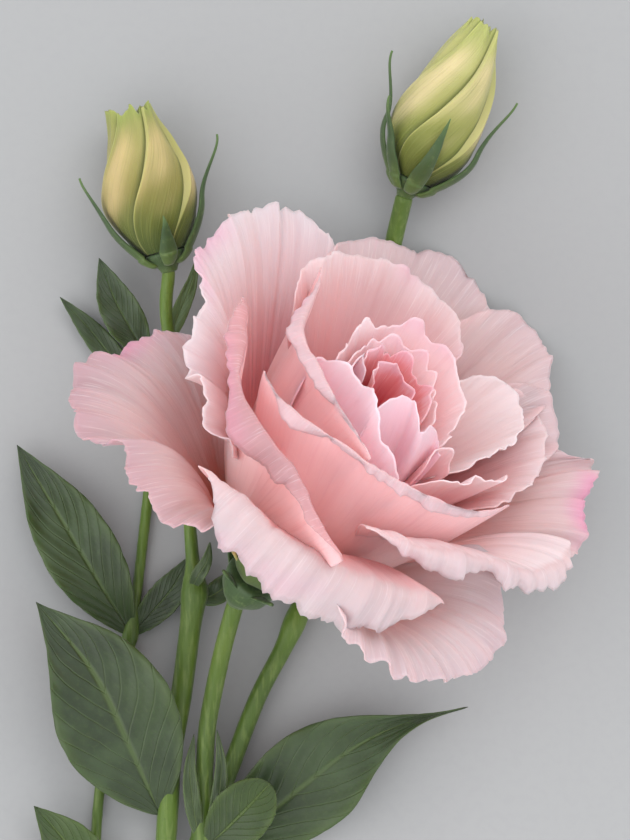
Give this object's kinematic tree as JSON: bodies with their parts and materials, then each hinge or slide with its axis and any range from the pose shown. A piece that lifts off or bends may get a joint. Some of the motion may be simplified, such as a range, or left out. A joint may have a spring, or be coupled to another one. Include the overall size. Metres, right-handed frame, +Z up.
{
  "type": "lisianthus flower",
  "caption": "Cut lisianthus spray that lies on a table: a ruffled double bloom, closed buds, a branched stem and pointed leaves.",
  "frame": {"origin": "middle of the spray's box on the surface that it lies on", "axes": "+Y along the spray from the cut end of the stem to the buds, +Z up from the surface"},
  "size_m": [0.1028, 0.1851, 0.0639],
  "materials": {
    "petals": "soft matte petal skin, paler and pinker at the rims",
    "buds": "soft waxy green-white skin",
    "stem": "smooth green stalk skin with a fine grain",
    "leaves": "waxy leaf skin with a grey bloom",
    "bracts": "waxy narrow leaf skin",
    "sepals": "dark green sepal skin"
  },
  "bodies": {
    "root": {"stem": "stem", "bloom_petals": "petals", "bloom_calyx": "sepals", "left_bud_petals": "buds", "left_bud_calyx": "sepals", "right_bud_petals": "buds", "right_bud_calyx": "sepals", "leaf_left_upper": "leaves", "leaf_left_lower": "leaves", "leaf_left_bottom": "leaves", "leaf_right_lower": "leaves", "leaf_right_small": "leaves", "leaf_far_upper": "leaves", "leaf_far_lower": "leaves", "leaf_behind_node": "leaves", "bract_fork_left": "bracts", "bract_fork_right": "bracts", "bract_bud_stalk": "bracts", "bract_node_dark": "bracts", "bract_node_light": "bracts"}
  },
  "joints": []
}
